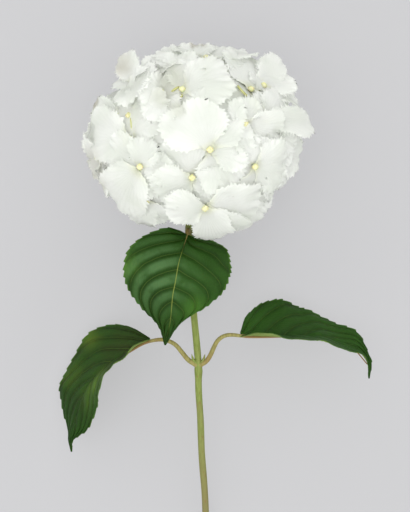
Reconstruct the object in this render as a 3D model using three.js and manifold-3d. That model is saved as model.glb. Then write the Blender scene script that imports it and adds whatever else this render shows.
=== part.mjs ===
// A cut hydrangea: a white fringed mophead on a leafy stem, lying on its back on a flat surface.
// Millimetres, +Z up. The head points to +Y, the cut end of the stem to -Y. The origin is the flat
// spot of the lowest floret's petal, where the head rests.
import * as THREE from 'three';
import { mergeGeometries, mergeVertices } from 'three/addons/utils/BufferGeometryUtils.js';
import Module from 'manifold-3d';

const wasm = await Module();
wasm.setup();

// Driving dimensions
const headCentre = new THREE.Vector3(20, 0, 72);
const eyeRadii = new THREE.Vector3(77, 66, 64);
const floretSpacing = 30;
const stemHole = 36;
const petalLength = 33.5;
const petalWidth = 38.5;
const petalSheet = 0.75;
const petalTooth = 1.3;
const rimPoints = 9;
const ruffle = 0.8;
const layerDepth = 5;
const layerCount = 2;
const layerReach = 44;
const rootWidth = 4.6;
const pairGap = 1.3;
const ballRadius = 73;
const eyeRadius = 1.7;
const eyeHeight = 4.2;
const stemRadius = 2.65;
const swellingLength = 4.4;
const budLength = 8.5;
const budRadius = 1.3;
const rayCount = 7;
const rayReach = 40;
const rayRadius = 1.9;
const pedicelRadius = 0.95;
const petioleRadius = 1.7;
const midribRadius = 0.6;
const leafSheet = 0.8;
const leafRows = 24;
const leafTooth = 0.045;
const leafBow = 0.16;
const clearance = 0.3;

const white = new THREE.MeshStandardMaterial({ color: '#eff4ed', roughness: 0.7, side: THREE.DoubleSide });
const stalkGreen = new THREE.MeshStandardMaterial({ color: '#b3bd7e', roughness: 0.6 });
const stemGreen = new THREE.MeshStandardMaterial({ color: '#8da053', roughness: 0.55 });
const leafGreen = new THREE.MeshStandardMaterial({ color: '#345822', roughness: 0.5 });

// Where the stem runs, from its top in the head to the cut end, from the head's centre across and up,
// and from the surface it lies on.
const stemRoute = [
  [-5, -50, 63], [-6.4, -70, 59], [-4.5, -109, 50], [-0.3, -155, 41], [0.9, -171, 38.5],
  [1.1, -190, 35], [2.5, -213, 30], [3.5, -240, 24.8], [5.7, -269, 18.5], [6.6, -290, 14.2],
  [7.6, -325, 7.6], [8.4, -350, 3.64], [8.7, -366, 2.66],
];
const lowerNode = [0.9, -171, 38.5];
// How far each of the two nodes is from the stem's top, and how much the stem swells there.
const swellings = [{ from: 24, by: 0.5 }, { from: 128, by: 0.6 }];

// Each leaf: the points of its petiole, then rows across it from base to tip. A row is one margin,
// the midrib and the other margin, the first margin to the left of the upper side seen with the tip down.
const leaves = {
  leaf_front: {
    petiole: [[-6.4, -70, 59], [-6.8, -67.4, 64], [-7.1, -67.9, 68]],
    rows: [
      [[-9, -70, 72], [-7, -71, 71], [-5, -72, 72]],
      [[-22, -66, 79], [-11, -83, 77], [7, -74, 75]],
      [[-39, -72, 86], [-14, -94, 81], [21, -81, 81]],
      [[-51, -83, 90], [-16, -106, 82], [25, -93, 86]],
      [[-54, -99, 90], [-18, -116, 82], [24, -103, 86]],
      [[-50, -113, 88], [-19, -126, 80], [18, -115, 84]],
      [[-41, -126, 83], [-20, -136, 78], [7, -126, 81]],
      [[-31, -139, 76], [-22, -145, 73], [-9, -138, 75]],
      [[-24.5, -154, 67], [-24, -154, 67], [-23.5, -154, 67]],
    ],
  },
  leaf_back: {
    petiole: [[-6.4, -70, 59], [-5.6, -67.2, 54], [-4.6, -67.6, 48]],
    rows: [
      [[-2, -71, 44], [-5, -72, 44], [-7, -71, 44]],
      [[8, -68, 38], [-6, -81, 38], [-16, -67, 38]],
      [[18, -77, 31], [-7, -92, 32], [-29, -73, 31]],
      [[17, -90, 25], [-9, -102, 27], [-35, -84, 24]],
      [[11, -103, 20], [-10, -113, 22], [-36, -98, 18]],
      [[5, -117, 14], [-12, -124, 17], [-31, -113, 12]],
      [[-4, -128, 9], [-14, -132, 12], [-21, -126, 8]],
      [[-14.5, -140, 7], [-15, -140, 7], [-15.5, -140, 7]],
    ],
  },
  leaf_left: {
    petiole: [[0.9, -171, 38.5], [-6.2, -167, 41], [-11.3, -161, 43], [-16, -155.3, 45], [-21.5, -152, 46],
      [-29, -150.8, 46.5]],
    rows: [
      [[-36, -148, 45], [-36, -151, 46], [-36, -152, 47]],
      [[-53, -141, 31], [-47, -156, 46], [-44, -157, 66]],
      [[-72, -141, 20], [-58, -164, 46], [-54, -163, 76]],
      [[-87, -151, 15], [-69, -171, 44], [-63, -168, 79]],
      [[-98, -169, 14], [-79, -181, 42], [-69, -175, 77]],
      [[-106, -184, 13], [-86, -191, 40], [-73, -188, 70]],
      [[-106, -198, 13], [-91, -204, 37], [-76, -200, 60]],
      [[-102, -216, 20], [-95, -219, 34], [-83, -218, 45]],
      [[-99, -229, 25], [-97, -230, 31], [-95, -229, 33]],
      [[-97.5, -238, 29], [-97, -238, 29], [-96.5, -238, 29]],
    ],
  },
  leaf_right: {
    petiole: [[0.9, -171, 38.5], [6.8, -167.7, 41], [10.2, -162.7, 42], [12.9, -156.6, 43],
      [15.9, -151.4, 44], [20.5, -148.1, 45], [26.6, -147.2, 45.5]],
    rows: [
      [[33, -148.5, 47], [33, -147.5, 46], [33, -145, 45]],
      [[45, -143, 66], [46, -148, 47], [38, -133, 31]],
      [[58, -143, 78], [59, -148, 48], [49, -124, 24]],
      [[71, -147, 84], [71, -148, 48], [63, -121, 23]],
      [[86, -150, 82], [83, -148, 48], [77, -126, 22]],
      [[99, -152, 77], [95, -149, 48], [90, -130, 24]],
      [[111, -157, 68], [108, -153, 46], [105, -139, 27]],
      [[122, -161, 54], [121, -158, 44], [122, -145, 35]],
      [[130, -167, 43], [130, -168, 40], [133, -165, 39]],
      [[131.5, -181, 36], [132, -181, 36], [132.5, -181, 36]],
    ],
  },
};

// The florets that show from the front: the eye's place from the head's centre, across and up, how far
// the floret leans from the ball's own direction, across and up, its turn in degrees, its size, and
// how far its petals rise towards their tips.
const frontFlorets = [
  { across: 10, up: -8, lean: [-0.1, 0.15], turn: 85, size: 1.18, rise: 4, layer: 0 },
  { across: -44, up: -21, lean: [0.1, 0], turn: 62, size: 1.08, rise: 3, layer: 0 },
  { across: -4, up: -28, lean: [0.1, 0.1], turn: 0, size: 0.95, rise: 0, layer: 1 },
  { across: 6, up: -52, lean: [0, 0.4], turn: 75, size: 1.05, rise: 0, layer: 1 },
  { across: 44, up: -21, lean: [-0.1, 0], turn: 45, size: 1, rise: 2, layer: 1 },
  { across: 35, up: 13, lean: [0, 0], turn: 15, size: 0.95, rise: 5, layer: 2 },
  { across: -55, up: 16, lean: [0.1, 0.4], turn: 30, size: 0.9, rise: 9, layer: 0 },
  { across: -62, up: -4, lean: [-0.1, 0], turn: 5, size: 0.9, rise: 2, layer: 2 },
  { across: -29, up: 36, lean: [-0.1, 0.5], turn: 80, size: 1, rise: 10, layer: 2 },
  { across: -6, up: 39, lean: [0.2, 0.1], turn: 25, size: 1.05, rise: 4, layer: 0 },
  { across: 35, up: 46, lean: [0.1, 0.2], turn: 30, size: 0.98, rise: 8, layer: 0 },
  { across: 66, up: 20, lean: [0.1, 0], turn: 50, size: 1, rise: 6, layer: 0 },
  { across: 73, up: -15, lean: [0.1, 0], turn: 15, size: 0.95, rise: 2, layer: 1 },
  { across: -22, up: 61, lean: [0, 0.1], turn: 5, size: 0.95, rise: 0, layer: 2 },
  { across: 18, up: 63, lean: [0, 0.1], turn: 0, size: 0.95, rise: 0, layer: 1 },
  { across: 55, up: 46, lean: [0.2, 0.1], turn: 45, size: 0.95, rise: 4, layer: 3 },
  { across: -48, up: 48, lean: [-0.1, 0.2], turn: 10, size: 0.96, rise: 8, layer: 0 },
  { across: -73, up: 18, lean: [-0.2, 0.2], turn: 40, size: 0.92, rise: 4, layer: 1 },
  { across: -74, up: -15, lean: [-0.1, 0], turn: 25, size: 0.9, rise: 0, layer: 1 },
  { across: -45, up: -52, lean: [0, 0], turn: 15, size: 1, rise: 3, layer: 1 },
  { across: 37, up: -53, lean: [0.1, 0.1], turn: 30, size: 0.98, rise: 2, layer: 0 },
  { across: 62, up: -44, lean: [0, 0], turn: 0, size: 0.92, rise: 3, layer: 2 },
];
// The florets that the head rests on, its petals pressed flat: the eye's place and its height above the
// surface. The first lies lowest, under the middle of the head.
const underFlorets = [
  { across: 0, up: 0, above: 3.3, turn: 6, size: 1, rise: 18, layer: 0, pressedTo: petalSheet / 2 },
  { across: 28, up: 22, above: 10, turn: 50, size: 1.05, rise: 0, layer: 0 },
  { across: -34, up: 10, above: 11, turn: 10, size: 1.05, rise: 0, layer: 0 },
  { across: 6, up: -36, above: 12, turn: 30, size: 1.05, rise: 0, layer: 0 },
];

// Seeded draws, so that each run gives the same flower.
let drawn = 47;
function draw(low, high) {
  drawn = (drawn * 16807) % 2147483647;
  return low + ((high - low) * drawn) / 2147483647;
}

function fromHead([across, up, height]) {
  return new THREE.Vector3(headCentre.x + across, headCentre.y + up, height);
}

function solidOf(positions, triangles) {
  const mesh = new wasm.Mesh({
    numProp: 3,
    vertProperties: new Float32Array(positions),
    triVerts: new Uint32Array(triangles.flat()),
  });
  return new wasm.Manifold(mesh);
}

function mergedTriangles(geometry) {
  geometry.deleteAttribute('normal');
  geometry.deleteAttribute('uv');
  const merged = mergeVertices(geometry, 1e-3);
  const corners = merged.index.array;
  const triangles = [];
  for (let i = 0; i < corners.length; i += 3) {
    const [a, b, c] = corners.slice(i, i + 3);
    if (a !== b && b !== c && c !== a) triangles.push([a, b, c]);
  }
  return { merged, triangles };
}

function closedSolid(geometry) {
  const { merged, triangles } = mergedTriangles(geometry);
  return solidOf(merged.attributes.position.array, triangles);
}

// A thin solid round an open sheet, split into the same triangles on both faces.
function sheetSolid(sheet, thickness) {
  const { merged, triangles } = mergedTriangles(sheet);
  merged.computeVertexNormals();
  const { position, normal } = merged.attributes;
  const count = position.count;
  const positions = [];
  for (const side of [0.5, -0.5]) {
    for (let i = 0; i < count; i++) {
      const point = new THREE.Vector3().fromBufferAttribute(position, i);
      point.addScaledVector(new THREE.Vector3().fromBufferAttribute(normal, i), side * thickness);
      positions.push(point.x, point.y, Math.max(point.z, 0));
    }
  }
  const faces = [];
  const rim = new Map();
  for (const [a, b, c] of triangles) {
    faces.push([a, b, c], [a + count, c + count, b + count]);
    for (const [from, to] of [[a, b], [b, c], [c, a]]) {
      if (!rim.delete(`${to} ${from}`)) rim.set(`${from} ${to}`, [from, to]);
    }
  }
  for (const [from, to] of rim.values()) {
    faces.push([to, from, from + count], [to, from + count, to + count]);
  }
  return solidOf(positions, faces);
}

// A round tube along a curve. radiusAt takes the share of the length, from 0 to 1, and slant leans
// the far end's cut.
function tubeSolid(curve, radiusAt, sides, steps, slant = 0) {
  const geometry = new THREE.CylinderGeometry(1, 1, 1, sides, steps);
  const frames = curve.computeFrenetFrames(steps, false);
  const position = geometry.attributes.position;
  for (let i = 0; i < position.count; i++) {
    const step = Math.round((position.getY(i) + 0.5) * steps);
    const radius = radiusAt(step / steps);
    const point = curve.getPointAt(step / steps);
    const side = new THREE.Vector3().crossVectors(frames.normals[step], frames.tangents[step]);
    point.addScaledVector(frames.normals[step], position.getX(i) * radius);
    point.addScaledVector(side, position.getZ(i) * radius);
    if (step === steps) point.addScaledVector(frames.tangents[step], slant * position.getX(i) * radius);
    position.setXYZ(i, point.x, point.y, point.z);
  }
  return closedSolid(geometry);
}

function joined(solids) {
  return solids.reduce((all, solid) => all.add(solid));
}

// The largest body, with any loose scrap and sealed pocket left out.
function largestBody(solid) {
  return solid.decompose().reduce((best, next) => (next.volume() > best.volume() ? next : best));
}

// Stem, with a swelling at each node, a pair of buds at the lower one and a slanted cut end
function stemSolid(extra) {
  const curve = new THREE.CatmullRomCurve3(stemRoute.map(fromHead), false, 'centripetal');
  const length = curve.getLength();
  const radiusAt = (share) => swellings.reduce(
    (radius, { from, by }) => radius + by * Math.exp(-(((share * length - from) / swellingLength) ** 2)),
    stemRadius + extra);
  const parts = [tubeSolid(curve, radiusAt, 8, 28, 0.9)];
  for (const side of [-1, 1]) {
    const root = fromHead(lowerNode).add(new THREE.Vector3(side * 1.6, 1.5, 1.6));
    const tip = root.clone().add(new THREE.Vector3(side * 0.42, 0.9, 0.25).multiplyScalar(budLength));
    const middle = root.clone().lerp(tip, 0.5).add(new THREE.Vector3(side * 0.6, -0.4, 0.2));
    const budCurve = new THREE.CatmullRomCurve3([root, middle, tip]);
    const budRadiusAt = (share) => extra + budRadius * (0.75 + 0.45 * share - 1.1 * share * share);
    parts.push(tubeSolid(budCurve, budRadiusAt, 5, 3));
  }
  return joined(parts);
}

// Leaves: a toothed blade between its margins, on a midrib that runs on from the petiole
function leafCurves(leaf) {
  return [0, 1, 2].map((column) => (
    new THREE.CatmullRomCurve3(leaf.rows.map((row) => fromHead(row[column])), false, 'catmullrom', 0.5)));
}

function leafSolid(leaf, extra) {
  const [leftMargin, midrib, rightMargin] = leafCurves(leaf);
  const blade = new THREE.PlaneGeometry(2, 1, 4, leafRows);
  const position = blade.attributes.position;
  for (let i = 0; i < position.count; i++) {
    const across = position.getX(i);
    const along = 0.5 - position.getY(i);
    const row = Math.round(along * leafRows);
    const root = midrib.getPoint(along);
    const reach = (across < 0 ? leftMargin : rightMargin).getPoint(along).sub(root);
    const ends = Math.min(1, 8 * Math.min(along, 1 - along));
    const tooth = Math.abs(across) === 1 ? 1 + leafTooth * ends * (row % 2 ? 1 : -1) : 1;
    const bow = leafBow * Math.abs(across) * (1 - Math.abs(across)) * reach.length();
    const forward = midrib.getTangent(along);
    const lift = new THREE.Vector3().crossVectors(reach, forward).normalize();
    if (across < 0) lift.negate();
    const point = root.addScaledVector(reach, Math.abs(across) * tooth).addScaledVector(lift, bow);
    position.setXYZ(i, point.x, point.y, point.z);
  }
  const under = new THREE.Vector3().crossVectors(
    rightMargin.getPoint(0.5).sub(leftMargin.getPoint(0.5)), midrib.getTangent(0.5)).normalize();
  const ribPoints = [0.05, 0.17].map((along) => midrib.getPoint(along).addScaledVector(under, -0.5));
  const stalkPoints = [...leaf.petiole.map(fromHead), ...ribPoints];
  const stalkCurve = new THREE.CatmullRomCurve3(stalkPoints, false, 'centripetal');
  const stalkRadiusAt = (share) => extra + petioleRadius + (midribRadius - petioleRadius) * share;
  const stalk = tubeSolid(stalkCurve, stalkRadiusAt, 6, 10);
  return sheetSolid(blade, leafSheet + 2 * extra).add(stalk);
}

// Florets: four petals in two layers round a small eye, each on a pedicel
function ballDirection(eye) {
  return eye.clone().divide(eyeRadii).divide(eyeRadii).normalize();
}

function placedFlorets() {
  const florets = frontFlorets.map((seen) => {
    const flat = (seen.across / eyeRadii.x) ** 2 + (seen.up / eyeRadii.y) ** 2;
    const towards = eyeRadii.z * Math.sqrt(Math.max(0, 1 - flat));
    const eye = new THREE.Vector3(seen.across, seen.up, towards);
    const facing = ballDirection(eye).add(new THREE.Vector3(...seen.lean, 0)).normalize();
    return { ...seen, eye, facing };
  });
  for (const under of underFlorets) {
    const eye = new THREE.Vector3(under.across, under.up, under.above - headCentre.z);
    const facing = new THREE.Vector3(under.across, under.up, -eyeRadii.z).normalize();
    florets.push({ ...under, eye, facing });
  }
  const tries = 70;
  const stemWay = new THREE.Vector3(-0.1, -1, -0.1).normalize();
  const goldenTurn = Math.PI * (3 - Math.sqrt(5));
  for (let i = 0; i < tries; i++) {
    const height = 1 - (2 * i + 1) / tries;
    const ring = Math.sqrt(1 - height * height);
    const way = new THREE.Vector3(ring * Math.cos(i * goldenTurn), ring * Math.sin(i * goldenTurn), height);
    const eye = way.clone().multiply(eyeRadii);
    const near = florets.some((other) => (
      THREE.MathUtils.radToDeg(other.eye.clone().divide(eyeRadii).angleTo(way)) < floretSpacing));
    if (near || THREE.MathUtils.radToDeg(way.angleTo(stemWay)) < stemHole) continue;
    const lean = new THREE.Vector3(draw(-0.2, 0.2), draw(-0.2, 0.2), draw(-0.2, 0.2));
    const facing = ballDirection(eye).add(lean).normalize();
    florets.push({ eye, facing, turn: draw(0, 90), size: draw(0.92, 1.06), rise: draw(-2, 3) });
  }
  layered(florets);
  return florets;
}

// Neighbouring florets lie in different layers, so that they pass over and under each other.
function layered(florets) {
  const wayOf = (floret) => floret.eye.clone().divide(eyeRadii).normalize();
  for (const [i, floret] of florets.entries()) {
    if (floret.layer !== undefined) continue;
    const taken = new Array(layerCount).fill(Infinity);
    for (const other of florets.slice(0, i)) {
      const apart = THREE.MathUtils.radToDeg(wayOf(other).angleTo(wayOf(floret)));
      taken[other.layer] = Math.min(taken[other.layer], apart);
    }
    const free = taken.findIndex((apart) => apart > layerReach);
    floret.layer = free >= 0 ? free : taken.indexOf(Math.max(...taken));
  }
  for (const floret of florets) {
    floret.eye.addScaledVector(wayOf(floret), -layerDepth * floret.layer);
  }
}

function pressed(height, rest) {
  const soft = 1.7;
  const flatBelow = 2 * rest - soft;
  if (height >= soft) return height;
  if (height <= flatBelow) return rest;
  return rest + (height - flatBelow) ** 2 / (4 * (soft - rest));
}

// One petal as an open toothed fan, from its root edge on the eye along +Y, domed like the ball.
function petalFan(floret, index, level) {
  const length = petalLength * floret.size * draw(0.94, 1.06);
  const halfWidth = 0.5 * petalWidth * floret.size * (level < 0 ? 1.04 : 0.94) * draw(0.96, 1.04);
  const phase = draw(0, 2 * Math.PI);
  const step = (2 * Math.PI) / rimPoints;
  const petal = new THREE.CircleGeometry(1, rimPoints, (step - Math.PI) / 2, 2 * Math.PI);
  const position = petal.attributes.position;
  for (let i = 0; i < position.count; i++) {
    const x = position.getX(i);
    const y = position.getY(i);
    const rim = Math.hypot(x, y) > 0.5;
    const angle = Math.atan2(x, y);
    const root = rim && Math.cos(angle) < -0.9;
    const tooth = rim && !root ? petalTooth * (i % 2 ? 1 : -1) : 0;
    const narrow = y < 0 ? 1 - 0.35 * y * y : 1;
    const point = new THREE.Vector3(x * (halfWidth * narrow + tooth), length * (1 + y) / 2 + y * tooth, 0);
    const out = point.length() / length;
    point.z = level + floret.rise * out ** 1.5 - point.lengthSq() / (2 * ballRadius);
    if (rim) point.z += ruffle * Math.sin(3 * angle + phase);
    if (root) point.set(Math.sign(x) * rootWidth / 2, 0, level);
    if (index === 1) point.set(-point.x, -point.y, point.z);
    position.setXYZ(i, point.x, point.y, point.z);
  }
  return petal;
}

// Four petals in two layers: a lower and an upper pair, crosswise, joined by the eye.
function floretSolid(floret) {
  const turned = new THREE.Quaternion().setFromUnitVectors(new THREE.Vector3(0, 0, 1), floret.facing);
  const centre = floret.eye.clone().add(headCentre);
  const rest = floret.pressedTo ?? petalSheet / 2 + 0.45;
  const pairs = [-1, 1].map((side) => {
    const level = side * pairGap;
    const pair = mergeGeometries([petalFan(floret, 0, level), petalFan(floret, 1, level)]);
    pair.rotateZ(THREE.MathUtils.degToRad(floret.turn + (side > 0 ? 90 : 0)));
    pair.applyMatrix4(new THREE.Matrix4().compose(centre, turned, new THREE.Vector3(1, 1, 1)));
    const position = pair.attributes.position;
    for (let i = 0; i < position.count; i++) position.setZ(i, pressed(position.getZ(i), rest));
    return sheetSolid(pair, petalSheet);
  });
  const eye = new THREE.CylinderGeometry(eyeRadius, 0.8 * eyeRadius, eyeHeight, 4);
  eye.rotateX(Math.PI / 2).rotateZ(THREE.MathUtils.degToRad(floret.turn));
  eye.translate(0, 0, eyeHeight / 2 - pairGap);
  eye.applyMatrix4(new THREE.Matrix4().compose(centre, turned, new THREE.Vector3(1, 1, 1)));
  return joined([...pairs, closedSolid(eye)]);
}

// Flower stalks: a short top of the stem, the rays that branch from it, and a pedicel to each floret
function stalksSolid(florets, extra) {
  const fork = fromHead([-4, -40, 65]);
  const stemTop = fromHead(stemRoute[0]);
  const way = fork.clone().sub(stemTop).normalize();
  const foot = stemTop.clone().addScaledVector(way, clearance);
  const thick = new THREE.LineCurve3(foot, fork);
  const parts = [tubeSolid(thick, (share) => extra + stemRadius * (1 + 0.35 * share), 8, 2)];
  const rays = [];
  for (let i = 0; i < rayCount; i++) {
    const round = (2 * Math.PI * i) / rayCount + 0.3;
    const spread = i % 2 ? 0.75 : 0.45;
    const ahead = i % 2 ? -0.08 : 0.42;
    const out = new THREE.Vector3(Math.cos(round) * spread, ahead, Math.sin(round) * spread);
    const tip = headCentre.clone().addScaledVector(out, rayReach);
    const start = fork.clone().addScaledVector(way, -2);
    const bend = start.clone().lerp(tip, 0.5).addScaledVector(way, 5);
    rays.push(tip);
    const ray = new THREE.QuadraticBezierCurve3(start, bend, tip);
    parts.push(tubeSolid(ray, (share) => extra + rayRadius - 0.6 * share, 5, 3));
  }
  for (const floret of florets) {
    const base = floret.eye.clone().add(headCentre);
    base.addScaledVector(floret.facing, -pairGap - petalSheet / 2 - clearance);
    const tip = rays.reduce((best, next) => (next.distanceTo(base) < best.distanceTo(base) ? next : best));
    const bend = base.clone().addScaledVector(floret.facing, -0.4 * tip.distanceTo(base));
    const pedicel = new THREE.QuadraticBezierCurve3(tip, bend, base);
    parts.push(tubeSolid(pedicel, (share) => extra + pedicelRadius * (1.15 - 0.25 * share), 4, 3));
  }
  return joined(parts);
}

const florets = placedFlorets();
const stem = stemSolid(0);
const stemRoom = stemSolid(clearance);
const stalks = stalksSolid(florets, 0);
const bloom = joined(florets.map(floretSolid)).subtract(stalksSolid(florets, clearance)).subtract(stemRoom);

const hydrangea = new THREE.Group();
function addMesh(name, solid, material) {
  const { vertProperties, triVerts } = largestBody(solid).getMesh();
  const geometry = new THREE.BufferGeometry();
  geometry.setAttribute('position', new THREE.BufferAttribute(vertProperties, 3));
  geometry.setIndex(new THREE.BufferAttribute(triVerts, 1));
  geometry.computeVertexNormals();
  const mesh = new THREE.Mesh(geometry, material);
  mesh.name = name;
  hydrangea.add(mesh);
}

addMesh('stem', stem, stemGreen);
addMesh('flower_stalks', stalks.subtract(stemRoom), stalkGreen);
addMesh('florets', bloom, white);
for (const [name, leaf] of Object.entries(leaves)) {
  addMesh(name, leafSolid(leaf, 0).subtract(stemRoom), leafGreen);
}

export default hydrangea;
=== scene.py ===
import math
import random

import bmesh
import bpy
from mathutils import Matrix, Vector


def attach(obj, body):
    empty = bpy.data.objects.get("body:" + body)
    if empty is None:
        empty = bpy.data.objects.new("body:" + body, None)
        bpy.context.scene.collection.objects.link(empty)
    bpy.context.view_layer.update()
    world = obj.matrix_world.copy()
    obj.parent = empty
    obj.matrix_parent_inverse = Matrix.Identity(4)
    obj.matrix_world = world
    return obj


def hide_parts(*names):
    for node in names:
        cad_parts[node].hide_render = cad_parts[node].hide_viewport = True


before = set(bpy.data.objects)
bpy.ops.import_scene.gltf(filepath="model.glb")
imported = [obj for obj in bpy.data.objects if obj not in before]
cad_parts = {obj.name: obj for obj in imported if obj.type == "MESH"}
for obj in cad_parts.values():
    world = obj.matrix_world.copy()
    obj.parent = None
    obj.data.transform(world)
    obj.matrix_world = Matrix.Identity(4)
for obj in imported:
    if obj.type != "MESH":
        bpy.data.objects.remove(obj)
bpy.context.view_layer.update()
scene = bpy.context.scene
mm = 0.001

# The head's centre and radii. Places on the flower are from that centre, across and up, and from the
# surface, in millimetres.
centre = Vector((20, 0, 72))
radii = Vector((77, 66, 64))
head = {
    "layers": 2,
    "layerDepth": 5,
    "layerReach": 44,  # degrees within which two florets lie in different layers
    "spacing": 30,  # degrees between the florets that the spiral adds
    "tries": 70,
    "seed": 47,
    "stemWay": Vector((-0.1, -1, -0.1)),
    "stemHole": 36,  # degrees round the stem that stay free
    "flatWay": Vector((0.8, -0.6, 0)),  # the side where the head is less full
    "flatBy": 9,
}

# The camera looks straight down on the flower.
# Petals on the front are placed by where the photo shows them.
view = {
    "aim": Vector((26, -87, 72)),
    "distance": 1500,
    "seenHeight": 384,
    "pixelsAcross": 410,
    "pixelsDown": 512,
    "rounds": 5,
    "sensor": 36,
}


def seenAt(column, row, lift):
    # The place that the photo shows at a pixel, on the head's rounded surface or a lift above it.
    # A pixel's size depends on the height that is looked for, so it takes a few rounds.
    place = Vector((view["aim"].x, view["aim"].y, centre.z + radii.z))
    for i in range(view["rounds"]):
        away = view["aim"].z + view["distance"] - place.z
        size = away / view["distance"] * view["seenHeight"] / view["pixelsDown"]
        place.x = view["aim"].x + (column - view["pixelsAcross"] / 2) * size
        place.y = view["aim"].y + (view["pixelsDown"] / 2 - row) * size
        flat = divided(place - centre, radii)
        rounded = radii.z * math.sqrt(max(0, 1 - flat.x ** 2 - flat.y ** 2))
        place.z = centre.z + rounded + lift
    return place


def divided(a, b):
    return Vector((a.x / b.x, a.y / b.y, a.z / b.z))


def fromHead(place):
    return Vector((centre.x + place[0], centre.y + place[1], place[2]))


def blend(low, high, share):
    return share * (high - low) + low


def eased(low, high, value):
    share = min(1, max(0, (value - low) / (high - low)))
    return share * share * (3 - 2 * share)


def turnedTo(way):
    # The turn that brings straight up to this direction
    return Vector((0, 0, 1)).rotation_difference(way).to_matrix().to_4x4()


def spiralWays(count):
    # Directions spread evenly over a ball
    goldenTurn = math.pi * (3 - math.sqrt(5))
    for i in range(count):
        height = 1 - (2 * i + 1) / count
        ring = math.sqrt(1 - height * height)
        yield Vector((ring * math.cos(i * goldenTurn), ring * math.sin(i * goldenTurn), height))


def curvePoint(points, share):
    # A smooth curve through the points
    place = share * (len(points) - 1)
    i = min(len(points) - 2, int(place))
    t = place - i
    a, b = points[i], points[i + 1]
    before = points[i - 1] if i > 0 else 2 * a - b
    after = points[i + 2] if i + 2 < len(points) else 2 * b - a
    outward, inward = (b - before) / 2, (after - a) / 2
    cubic = 2 * (a - b) + outward + inward
    square = 3 * (b - a) - 2 * outward - inward
    return cubic * t ** 3 + square * t ** 2 + outward * t + a


def evenPath(points, count):
    # The same curve walked at an even pace, and its length
    steps = 20 * len(points)
    fine = [curvePoint(points, i / steps) for i in range(steps + 1)]
    run = [0]
    for a, b in zip(fine, fine[1:]):
        run.append(run[-1] + (b - a).length)
    path, k = [], 0
    for i in range(count + 1):
        goal = run[-1] * i / count
        while k < len(fine) - 2 and run[k + 1] < goal:
            k += 1
        path.append(fine[k].lerp(fine[k + 1], (goal - run[k]) / (run[k + 1] - run[k])))
    return path, run[-1]


def bentPath(start, bend, end, count):
    # A simple bend towards one point
    shares = [i / count for i in range(count + 1)]
    return [start * (1 - t) ** 2 + bend * 2 * t * (1 - t) + end * t * t for t in shares]


def addTube(bm, path, radiusAt, sides):
    # A ring is drawn along the path, and both ends are closed. Returns the last ring's vertices.
    ring = bmesh.ops.create_circle(bm, cap_ends=False, segments=sides, radius=1)["verts"]
    edges = list(dict.fromkeys(edge for vert in ring for edge in vert.link_edges))
    first = edges
    side = Vector((1, 0.3, 0.2))  # no path runs this way
    before = Matrix.Identity(4)
    for i, point in enumerate(path):
        ahead = (path[min(i + 1, len(path) - 1)] - path[max(i - 1, 0)]).normalized()
        side = (side - ahead * side.dot(ahead)).normalized()
        turn = Matrix((side, ahead.cross(side), ahead)).transposed()
        radius = radiusAt(i / (len(path) - 1))
        place = Matrix.LocRotScale(point, turn, Vector((radius, radius, radius)))
        if i:
            grown = bmesh.ops.extrude_edge_only(bm, edges=edges)["geom"]
            ring = [part for part in grown if isinstance(part, bmesh.types.BMVert)]
            edges = [part for part in grown if isinstance(part, bmesh.types.BMEdge)]
        bmesh.ops.transform(bm, matrix=place @ before.inverted(), verts=ring)
        before = place
    bmesh.ops.edgeloop_fill(bm, edges=first)
    bmesh.ops.edgeloop_fill(bm, edges=edges)
    return ring


def addObject(name, data):
    made = bpy.data.objects.new(name, data)
    scene.collection.objects.link(made)
    return made


def addMesh(bm, name, materials):
    mesh = bpy.data.meshes.new(name)
    bm.to_mesh(mesh)
    bm.free()
    for material in materials:
        mesh.materials.append(material)
    return addObject(name, mesh)


def finishPiece(bm, name, nodes, materials, recalculated=True):
    if recalculated:
        bmesh.ops.recalc_face_normals(bm, faces=bm.faces)
    bmesh.ops.scale(bm, vec=(mm, mm, mm), verts=bm.verts)
    for face in bm.faces:
        face.smooth = True
    piece = addMesh(bm, name, materials)
    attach(piece, "root")
    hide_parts(*nodes)
    return piece


def sharpRim(verts):
    # The thin sheet's edge doesn't soften the shading of its face.
    for edge in {edge for vert in verts for edge in vert.link_edges}:
        edge.smooth = not edge.is_boundary


def thicken(piece, thickness, underSlot=0):
    sheet = piece.modifiers.new("sheet", "SOLIDIFY")
    sheet.thickness = thickness * mm
    sheet.offset = 0
    sheet.material_offset = underSlot


# Materials. A colour is a code of red, green and blue, as on a screen.
def tint(code):
    levels = [int(code[i:i + 2], 16) / 255 for i in (1, 3, 5)]
    return [v / 12.92 if v <= 0.04045 else ((v + 0.055) / 1.055) ** 2.4 for v in levels] + [1]


# A Wire is one socket's value, and sums on it add the shader's nodes.
class Wire:
    def __init__(self, finish, socket):
        self.finish = finish
        self.socket = socket

    def join(self, operation, *values):
        return self.finish.node("ShaderNodeMath", {"operation": operation}, *values)

    def __add__(self, other):
        return self.join("ADD", self, other)

    def __sub__(self, other):
        return self.join("SUBTRACT", self, other)

    def __rsub__(self, other):
        return self.join("SUBTRACT", other, self)

    def __mul__(self, other):
        return self.join("MULTIPLY", self, other)

    def __pow__(self, other):
        return self.join("POWER", self, other)

    def size(self):
        return self.join("ABSOLUTE", self)

    def wave(self):
        return self.join("SINE", self)

    def angle(self, other):
        return self.join("ARCTAN2", self, other)

    def fraction(self):
        return self.join("FRACT", self)

    def mask(self, low, high):
        # 0 below low and 1 above high, or the other way round
        settings = {"interpolation_type": "SMOOTHSTEP"}
        return self.finish.node("ShaderNodeMapRange", settings, self, low, high, 0.0, 1.0)


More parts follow.
